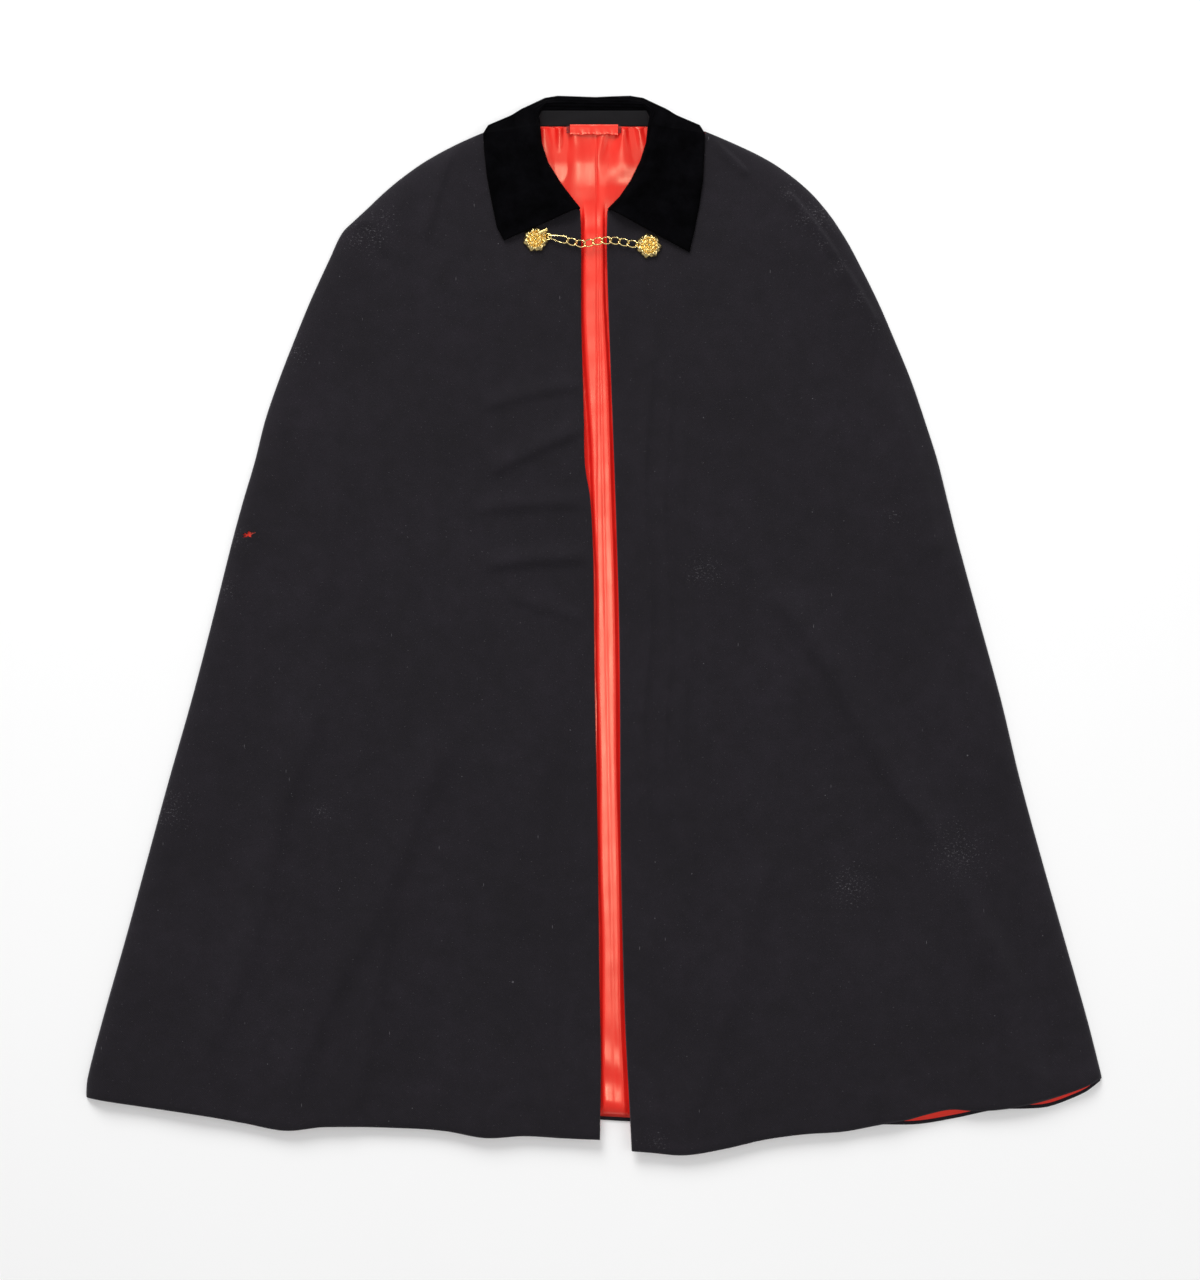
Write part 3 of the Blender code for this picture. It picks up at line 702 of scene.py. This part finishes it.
def stand_place(u, v):
    """Inner face of the stand, from the neck seam up to the velvet."""
    share = 0.05 + 0.90 * u
    top = collar_points(share, np.zeros_like(u))
    front = top - np.array([0, 0, 4.5 * MM])
    seam_height = 5.9 * MM + 0.3 * (top[:, 2] - 8.3 * MM)
    back = np.column_stack([top[:, 0] * 1.02, np.full_like(u, 550.2 * MM), seam_height])
    behind = smooth(546 * MM, 556 * MM, top[:, 1])[:, None]
    seam = front * (1 - behind) + back * behind
    points = seam + (top - seam) * (0.97 * v)[:, None]
    crease = 0.25 * MM * ripple(points[:, 0], points[:, 1] * 0.6, 0.022, 2) * 4 * v * (1 - v)
    points[:, 2] += crease * behind[:, 0]
    return points, np.column_stack([points[:, 0], v * 0.02])


# ------------------------------------------------------------------ metal

LINK_HALF = (5.75 * MM, 3.65 * MM)
LINK_TWIST = math.radians(42)
LINK_STRIDE = 4.825 * MM
WIRE = 0.75 * MM
HOOK_REACH = 17.5 * MM
HOOK_DROP = 3.0 * MM
HOOK_TONGUE = 1.5 * MM
HOOK_HEADING = 168
EYE_HEADING = 172
BOSS_RADIUS = 13.2 * MM
BOSS_HEIGHT = 8.6 * MM


def link_point(angle):
    """A twisted oval: its two ends lean opposite ways, so that the links of a chain lie flat."""
    x = LINK_HALF[0] * math.copysign(abs(math.cos(angle)) ** 0.8, math.cos(angle))
    across = LINK_HALF[1] * math.copysign(abs(math.sin(angle)) ** 0.8, math.sin(angle))
    lean = LINK_TWIST * x / LINK_HALF[0]
    return Vector((x, across * math.cos(lean), across * math.sin(lean)))


def hook_point(angle):
    """One end is like a link; the long end narrows and turns down to a tongue."""
    if math.cos(angle) >= 0:
        return link_point(angle)
    reach = (HOOK_REACH + HOOK_DROP) * abs(math.cos(angle)) ** 0.8
    narrow = float(smooth(0, 1, reach / HOOK_REACH))
    across = math.copysign(abs(math.sin(angle)) ** 0.3, math.sin(angle))
    across *= LINK_HALF[1] * (1 - narrow) + HOOK_TONGUE * narrow
    bend = 1.6 * MM
    past = reach - (HOOK_REACH - bend)
    if past <= 0:
        return Vector((-reach, across, 0))
    turn = min(past / bend, math.pi / 2)
    straight = max(past - bend * math.pi / 2, 0)
    drop = bend * (1 - math.cos(turn)) + straight
    return Vector((bend - HOOK_REACH - bend * math.sin(turn), across, -drop))


def loop_points(shape, count, heading, middle):
    """Points round a closed wire shape, turned to its heading about its middle."""
    return [turned(shape(2 * math.pi * (step + 0.5) / count), heading) + middle for step in range(count)]


def wire_mesh(name, points, radius, closed=True, relief=0.8):
    """A round wire through the points, as a mesh."""
    curve = bpy.data.curves.new(name, "CURVE")
    curve.dimensions = "3D"
    curve.bevel_depth = radius
    curve.bevel_resolution = 4
    curve.use_fill_caps = not closed
    spline = curve.splines.new("POLY")
    spline.points.add(len(points) - 1)
    for knot, point in zip(spline.points, points):
        knot.co = (*point, 1.0)
    spline.use_cyclic_u = closed
    item = bpy.data.objects.new(name, curve)
    mesh = bpy.data.meshes.new_from_object(item)
    bpy.data.objects.remove(item)
    mesh.shade_smooth()
    set_relief(mesh, np.full(len(mesh.vertices), relief))
    return mesh


# Stores the relief that sets the gold's painted shade: the lower it is, the darker the colour.
def set_relief(mesh, values):
    layer = mesh.attributes.new("relief", "FLOAT", "POINT")
    layer.data.foreach_set("value", values.astype(np.float32))


def turned(point, degrees):
    return Matrix.Rotation(math.radians(degrees), 3, "Z") @ Vector(point)


def chain_pivots():
    """Where each link and the hook hangs on the one before it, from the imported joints."""
    places = {joint["name"]: Vector(joint["pos_m"]) for joint in frame["joints"]}
    return [places[f"link_{number}_lift"] for number in range(1, 9)] + [places["hook_lift"]]


def headings():
    """Heading of each piece of the chain, in degrees; the hook's is its own."""
    pivots = chain_pivots()
    ways = [b - a for a, b in zip(pivots[:-1], pivots[1:])]
    return [math.degrees(math.atan2(way.y, way.x)) for way in ways] + [HOOK_HEADING]


def rosette(center, radius, height, facing):
    """A cast boss: seven veined petals under a ring of small leaves, with a bead in the middle."""
    bm = bmesh.new()
    bmesh.ops.create_uvsphere(bm, u_segments=168, v_segments=72, radius=1.0)
    relief = []
    for vert in bm.verts:
        share = math.hypot(vert.co.x, vert.co.y)
        angle = math.atan2(vert.co.y, vert.co.x) - math.radians(facing)
        petal = math.cos(7 * angle)
        curl = math.cos(14 * angle + 2.2 * share)
        outer = smooth(0.52, 0.72, share) * (0.60 - 0.30 * petal + 0.08 * math.cos(21 * angle) * share)
        inner = hump(share, 0.44, 0.13) * (0.55 + 0.45 * math.cos(7 * angle + 0.5 + 3 * share))
        groove = hump(share, 0.60, 0.05) * (0.8 - 0.2 * curl) + hump(share, 0.235, 0.045)
        bead = hump(share, 0.0, 0.17)
        bumpy = 0.09 * math.cos(14 * angle + 9 * share) * smooth(0.25, 0.6, share)
        bumpy += 0.05 * math.cos(9 * angle - 17 * share) * smooth(0.30, 0.75, share)
        rise = 0.62 + 0.20 * outer + 0.34 * inner + 0.42 * bead - 0.30 * groove + bumpy
        lobes = 1 - 0.055 * share ** 2 * petal - 0.03 * share ** 3 * curl
        up = max(vert.co.z, 0) ** 0.8 * rise * height
        # Relief for the gold's painted shade: low in the grooves, high on the raised petals and the bead, and
        # 0.1 underneath.
        relief.append(float(np.clip(0.2 + 0.75 * (rise - 0.42), 0, 1)) if vert.co.z > 0.02 else 0.1)
        vert.co = Vector((vert.co.x * lobes * radius, vert.co.y * lobes * radius, up)) + center
    mesh = mesh_of("rosette", bm)
    set_relief(mesh, np.array(relief))
    return mesh


def joined(name, meshes, material):
    """One mesh object made of several closed meshes."""
    bm = bmesh.new()
    for mesh in meshes:
        bm.from_mesh(mesh)
    bmesh.ops.recalc_face_normals(bm, faces=bm.faces[:])
    return add_mesh(name, mesh_of(name, bm), material)


def circle(center, radius, count=48):
    steps = [2 * math.pi * step / count for step in range(count)]
    return [Vector(center) + Vector((radius * math.cos(a), radius * math.sin(a), 0)) for a in steps]


# ------------------------------------------------------------------ operators

def length_setting(name, default, description):
    return FloatProperty(name=name, default=default, unit="LENGTH", description=description)


def color_setting(name, default, description):
    return FloatVectorProperty(name=name, default=default, subtype="COLOR", description=description)


class CapeSettings(bpy.types.PropertyGroup):
    wool_thickness: length_setting("Wool thickness", 0.0014, "Thickness of the felted wool")
    satin_thickness: length_setting("Satin thickness", 0.0005, "Thickness of the satin lining")
    velvet_thickness: length_setting("Velvet thickness", 0.0012, "Thickness of the velvet, with its pile")
    camera_height: length_setting("Camera height", 3.6, "Height of the camera above the floor")
    fold_depth: FloatProperty(name="Fold depth", default=1.0, subtype="FACTOR",
                              description="How strongly the soft folds of the fronts show")
    rows: IntProperty(name="Rows", default=280, description="Rows of faces from neck to hem on a front")
    wool_color: color_setting("Wool", (0.0118, 0.0100, 0.0130), "Colour of the wool")
    satin_color: color_setting("Satin", (0.90, 0.016, 0.012), "Colour of the satin lining")
    velvet_color: color_setting("Velvet", (0.0018, 0.0017, 0.0022), "Colour of the velvet")
    stand_color: color_setting("Stand", (0.0050, 0.0044, 0.0056), "Colour of the stand and the under collar")
    gold_color: color_setting("Pale gold", (1.0, 0.80, 0.36), "Colour of the plated clasp")
    thread_color: color_setting("Thread", (0.16, 0.008, 0.010), "Colour of the thread of the hanger's tacks")
    floor_color: color_setting("Floor", (0.975, 0.975, 0.975), "Colour of the floor")


def assign(item, body, slot, *nodes):
    """Says which body the piece rides on and which CAD nodes it replaces; the slot argument is not used."""
    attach(item, body)
    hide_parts(*nodes)


def lay_cloth(name, across, down, place, material, thickness, cut=None):
    """A thickened sheet of cloth in its material."""
    item = add_mesh(name, sheet_mesh(name, across, down, place, cut), material)
    thicken(item, thickness)
    return item


def turn_line(side):
    """Two points just beside the line that a front's opening edge turns about, 10 mm to one side and 30 mm to
    the other.
    """
    joint = next(j for j in frame["joints"] if j["name"] == f"{side}_opening_turn")
    point, axis = Vector(joint["pos_m"]), Vector(joint["axis"])
    across = Vector((-axis.y, axis.x, 0))
    if across.x * HALVES[side] > 0:
        across = -across
    return point - 10 * MM * across, point + 30 * MM * across


def bend_with_opening(item, side):
    """Applies the modifiers and bakes the cloth's placement into its mesh; the turn line is worked out but
    not used.
    """
    mesh = bpy.data.meshes.new_from_object(item.evaluated_get(bpy.context.evaluated_depsgraph_get()))
    item.modifiers.clear()
    item.data = mesh
    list(turn_line(side))
    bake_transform(item)


MOTH_HOLE = Vector((-380.5, 100)) * MM


def moth_hole(bm):
    """Takes out a small ragged hole where moths have eaten the wool."""
    close = [edge for edge in bm.edges
             if all((vert.co.xy - MOTH_HOLE).length < 13 * MM for vert in edge.verts)]
    bmesh.ops.subdivide_edges(bm, edges=close, cuts=5, use_grid_fill=True)
    gone = []
    for face in bm.faces:
        away = (face.calc_center_median().xy - MOTH_HOLE) / MM
        x, y = away.x / 5.6, (away.y - 0.2 * away.x) / 2.5
        rough = 0.30 * math.sin(5 * math.atan2(y, x) + 1) + 0.22 * math.sin(9 * math.atan2(y, x))
        if math.hypot(x, y) < 1 + rough:
            gone.append(face)
    bmesh.ops.delete(bm, geom=gone, context="FACES")


class CAPE_OT_wool_fronts(bpy.types.Operator):
    """Builds the two wool fronts, each in one cloth from the side seam to its front edge"""
    bl_idname = "cape.wool_fronts"
    bl_label = "Wool fronts"

    def execute(self, context):
        settings = context.scene.cape
        wool = material_named("wool", wool_material)
        for side in HALVES:
            item = lay_cloth(f"wool_front_{side}", 150, settings.rows, wool_front(side), wool,
                             settings.wool_thickness, moth_hole if side == "left" else None)
            bend_with_opening(item, side)
            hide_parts(f"front_shell_{side}", f"side_edge_{side}", f"opening_edge_{side}")
        return {"FINISHED"}


class CAPE_OT_wool_back(bpy.types.Operator):
    """Builds the two halves of the wool back"""
    bl_idname = "cape.wool_back"
    bl_label = "Wool back"

    def execute(self, context):
        wool = material_named("wool", wool_material)
        for side in HALVES:
            item = lay_cloth(f"wool_back_{side}", 90, 200, wool_back(side), wool,
                             context.scene.cape.wool_thickness)
            assign(item, "cape", "black_wool", f"back_shell_{side}")
        return {"FINISHED"}


class CAPE_OT_satin_fronts(bpy.types.Operator):
    """Builds the two satin linings of the fronts"""
    bl_idname = "cape.satin_fronts"
    bl_label = "Front linings"

    def execute(self, context):
        settings = context.scene.cape
        satin = material_named("satin", satin_material)
        for side in HALVES:
            item = lay_cloth(f"satin_front_{side}", 150, settings.rows, satin_front(side), satin,
                             settings.satin_thickness)
            bend_with_opening(item, side)
            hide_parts(f"front_lining_{side}", f"opening_lining_{side}")
        return {"FINISHED"}


class CAPE_OT_satin_back(bpy.types.Operator):
    """Builds the two halves of the back lining, gathered into the neck seam"""
    bl_idname = "cape.satin_back"
    bl_label = "Back lining"

    def execute(self, context):
        satin = material_named("satin", satin_material)
        for side in HALVES:
            item = lay_cloth(f"satin_back_{side}", 130, 290, satin_back(side), satin,
                             context.scene.cape.satin_thickness)
            assign(item, "cape", "red_satin", f"back_lining_{side}")
        return {"FINISHED"}


class CAPE_OT_collar(bpy.types.Operator):
    """Builds the velvet collar and the under collar below it"""
    bl_idname = "cape.collar"
    bl_label = "Collar"

    def execute(self, context):
        pile = context.scene.cape.velvet_thickness
        cloth = material_named("velvet", velvet_material)
        velvet = lay_cloth("velvet_collar", 460, 84, velvet_place, cloth, pile)
        assign(velvet, "cape", "black_velvet", "top_collar")
        weave = material_named("black_weave", black_cloth_material)
        under = lay_cloth("under_collar_cloth", 240, 40, under_place, weave, UNDER_COLLAR)
        under.modifiers["thickness"].offset = -1 - 2 * (pile + 0.25 * MM) / UNDER_COLLAR
        assign(under, "cape", "black_cloth", "under_collar")
        return {"FINISHED"}


class CAPE_OT_stand(bpy.types.Operator):
    """Builds the collar stand inside the neck"""
    bl_idname = "cape.stand"
    bl_label = "Collar stand"

    def execute(self, context):
        weave = material_named("black_weave", black_cloth_material)
        item = lay_cloth("stand_cloth", 260, 20, stand_place, weave, 0.7 * MM)
        assign(item, "cape", "black_cloth", "collar_stand")
        return {"FINISHED"}


def loop_material(settings):
    return satin_material(settings, "loop_satin")


def hanger_place(u, v):
    """The front of the hanger loop, slightly puffed, with its lower edge wavy between the two tacks."""
    low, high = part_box("hanger_loop")
    x = low.x + (high.x - low.x) * u
    ends = smooth(0, 0.05, u) * smooth(1, 0.95, u)
    sag = 0.25 * MM * np.sin(u * 41) * ends + 0.45 * MM * np.sin(u * 17 + 1) - 0.6 * MM * (1 - ends)
    y = low.y + (high.y - low.y) * v + sag * (1 - v)
    tube = np.sqrt(np.clip(1 - (2 * v - 1) ** 4, 0, 1))
    folds = 0.16 * MM * np.sin(u * 41 + 3 * v) * hump(v, 0.1, 0.35) * ends
    z = high.z - 0.55 * MM + 0.9 * MM * tube + folds + 0.25 * MM * ripple(x, y, 0.018, 3)
    return np.column_stack([x, y, z]), np.column_stack([y, x])


def stitches(side, count=7):
    """The thread of a tack: stitches that go in at one side of it and come out at the other."""
    low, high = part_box(f"hanger_tack_{side}")
    for step in range(count):
        y = low.y + (high.y - low.y) * (step + 0.5) / count
        lean = 0.25 * MM * math.sin(step * 2.1)
        marks = ((low.x - 0.3 * MM, -lean, -1.4), (low.x + 0.2 * MM, -lean, 0.9),
                 (high.x - 0.4 * MM, lean, 1.0), (high.x + 0.3 * MM, lean, -1.2))
        points = [(x, y + aside, high.z + up * MM) for x, aside, up in marks]
        yield wire_mesh("stitch", points, 0.36 * MM, closed=False)


class CAPE_OT_hanger(bpy.types.Operator):
    """Builds the satin hanger loop and the stitches that hold its two ends"""
    bl_idname = "cape.hanger"
    bl_label = "Hanger"

    def execute(self, context):
        satin = material_named("loop_satin", loop_material)
        loop = lay_cloth("satin_hanger", 220, 36, hanger_place, satin, 0.9 * MM)
        assign(loop, "hanger", "red_satin", "hanger_loop")
        thread = material_named("tack_thread", thread_material)
        for side in HALVES:
            tack = joined(f"stitched_tack_{side}", stitches(side), thread)
            assign(tack, "cape", "red_thread", f"hanger_tack_{side}")
        return {"FINISHED"}


def eye_ring():
    """The right boss's eye, a link of the chain that the boss holds still."""
    middle = chain_pivots()[0] - turned((LINK_STRIDE, 0, 0), EYE_HEADING)
    return wire_mesh("eye", loop_points(link_point, 64, EYE_HEADING, middle), WIRE)


def coiled_tube(start, stop):
    """A short tapered tube of wire turns."""
    way = (stop - start).normalized()
    across = way.cross(Vector((0, 0, 1)))
    up = across.cross(way)
    for step in range(9):
        share = step / 8
        radius = 2.0 * MM * (1 - 0.25 * share)
        points = [start.lerp(stop, share) + radius * (across * math.cos(a) + up * math.sin(a))
                  for a in np.linspace(0, 2 * math.pi, 24, endpoint=False)]
        yield wire_mesh("turn", points, 0.72 * MM, relief=0.9)


class CAPE_OT_bosses(bpy.types.Operator):
    """Builds the two cast bosses of the clasp, each with its eye"""
    bl_idname = "cape.bosses"
    bl_label = "Clasp bosses"

    def execute(self, context):
        gold = material_named("gold_plate", gold_material)
        right = rosette(Vector((60.5 * MM, 417.5 * MM, BOSS_BASE)), BOSS_RADIUS, BOSS_HEIGHT, 174)
        tip = chain_pivots()[-1] + turned((LINK_STRIDE + HOOK_REACH, 0, 0), HOOK_HEADING)
        eye = Vector((tip.x + 0.4 * MM, tip.y, BOSS_BASE))
        away = turned((14.19 * MM, 0, 0), 193)
        left = rosette(eye + away, BOSS_RADIUS, BOSS_HEIGHT, 13)
        ring = wire_mesh("ring", circle(eye + Vector((0, 0, 1.7 * MM)), 3.4 * MM), 0.7 * MM)
        start = eye + Vector((away.x * 0.72, away.y + 6.0 * MM, 5.6 * MM))
        tube = coiled_tube(start, eye + Vector((-1.4, 7.2, 4.2)) * MM)
        for side, meshes in (("right", [right, eye_ring()]), ("left", [left, ring, *tube])):
            assign(joined(f"cast_boss_{side}", meshes, gold), "cape", "pale_gold", f"clasp_boss_{side}")
        return {"FINISHED"}


class CAPE_OT_chain(bpy.types.Operator):
    """Builds the eight links and the hook, each on its own joint"""
    bl_idname = "cape.chain"
    bl_label = "Chain and hook"

    def execute(self, context):
        gold = material_named("gold_plate", gold_material)
        middles = [pivot + turned((LINK_STRIDE, 0, 0), heading)
                   for pivot, heading in zip(chain_pivots(), headings())]
        for number, (middle, heading) in enumerate(zip(middles[:-1], headings()), start=1):
            name = f"wire_link_{number}"
            item = add_mesh(name, wire_mesh(name, loop_points(link_point, 64, heading, middle), WIRE), gold)
            assign(item, f"chain_link_{number}", "pale_gold", f"chain_link_{number}")
        points = loop_points(hook_point, 120, HOOK_HEADING + 180, middles[-1])
        hook = add_mesh("wire_hook", wire_mesh("wire_hook", points, WIRE), gold)
        assign(hook, "hook", "pale_gold", "clasp_hook")
        return {"FINISHED"}


# Soft lamps that point at the middle of the cape: name, place, diameter, watts.
LAMPS = (("key", (-1.3, 4.6, 3.2), 3.2, 240.0), ("fill", (3.0, -0.4, 3.0), 2.6, 20.0),
         ("overhead", (0.0, -0.12, 4.1), 0.9, 38.0))
VIEW_HEIGHT = 1.408


class CAPE_OT_stage(bpy.types.Operator):
    """Sets the pale floor, the soft studio light and the camera straight above"""
    bl_idname = "cape.stage"
    bl_label = "Stage"

    def execute(self, context):
        settings = context.scene.cape
        bm = bmesh.new()
        bmesh.ops.create_grid(bm, x_segments=1, y_segments=1, size=4.0)
        add_mesh("floor", mesh_of("floor", bm), material_named("paper", floor_material))
        world = bpy.data.worlds.new("studio")
        world.use_nodes = True
        background = world.node_tree.nodes["Background"]
        background.inputs["Color"].default_value = (1.0, 1.0, 1.0, 1.0)
        background.inputs["Strength"].default_value = 0.37
        context.scene.world = world
        for name, place, size, power in LAMPS:
            data = bpy.data.lights.new(name, "AREA")
            data.shape = "DISK"
            data.size = size
            data.energy = power
            lamp = bpy.data.objects.new(name, data)
            lamp.location = place
            lamp.rotation_euler = Vector(place).to_track_quat("Z", "Y").to_euler()
            context.scene.collection.objects.link(lamp)
        data = bpy.data.cameras.new("above")
        data.sensor_fit = "VERTICAL"
        data.sensor_height = 36.0
        data.lens = data.sensor_height * settings.camera_height / VIEW_HEIGHT
        camera = bpy.data.objects.new("above", data)
        camera.location = (6.6 * MM, -16.0 * MM, settings.camera_height + 0.012)
        context.scene.collection.objects.link(camera)
        context.scene.camera = camera
        context.scene.view_settings.view_transform = "Standard"
        return {"FINISHED"}


OPERATORS = (CAPE_OT_wool_back, CAPE_OT_satin_back, CAPE_OT_satin_fronts, CAPE_OT_wool_fronts, CAPE_OT_collar,
             CAPE_OT_stand, CAPE_OT_hanger, CAPE_OT_bosses, CAPE_OT_chain, CAPE_OT_stage)


class CAPE_PT_panel(bpy.types.Panel):
    """The cape's settings and its building steps"""
    bl_label = "Lined Cape"
    bl_idname = "CAPE_PT_panel"
    bl_space_type = "VIEW_3D"
    bl_region_type = "UI"
    bl_category = "Cape"

    def draw(self, context):
        for name in CapeSettings.__annotations__:
            self.layout.prop(context.scene.cape, name)
        for operator in OPERATORS:
            self.layout.operator(operator.bl_idname)


def register():
    for item in (CapeSettings, *OPERATORS, CAPE_PT_panel):
        bpy.utils.register_class(item)
    bpy.types.Scene.cape = PointerProperty(type=CapeSettings)


def unregister():
    del bpy.types.Scene.cape
    for item in reversed((CapeSettings, *OPERATORS, CAPE_PT_panel)):
        bpy.utils.unregister_class(item)


def main():
    register()
    for operator in OPERATORS:
        group, step = operator.bl_idname.split(".")
        getattr(getattr(bpy.ops, group), step)()


if __name__ == "__main__":
    main()
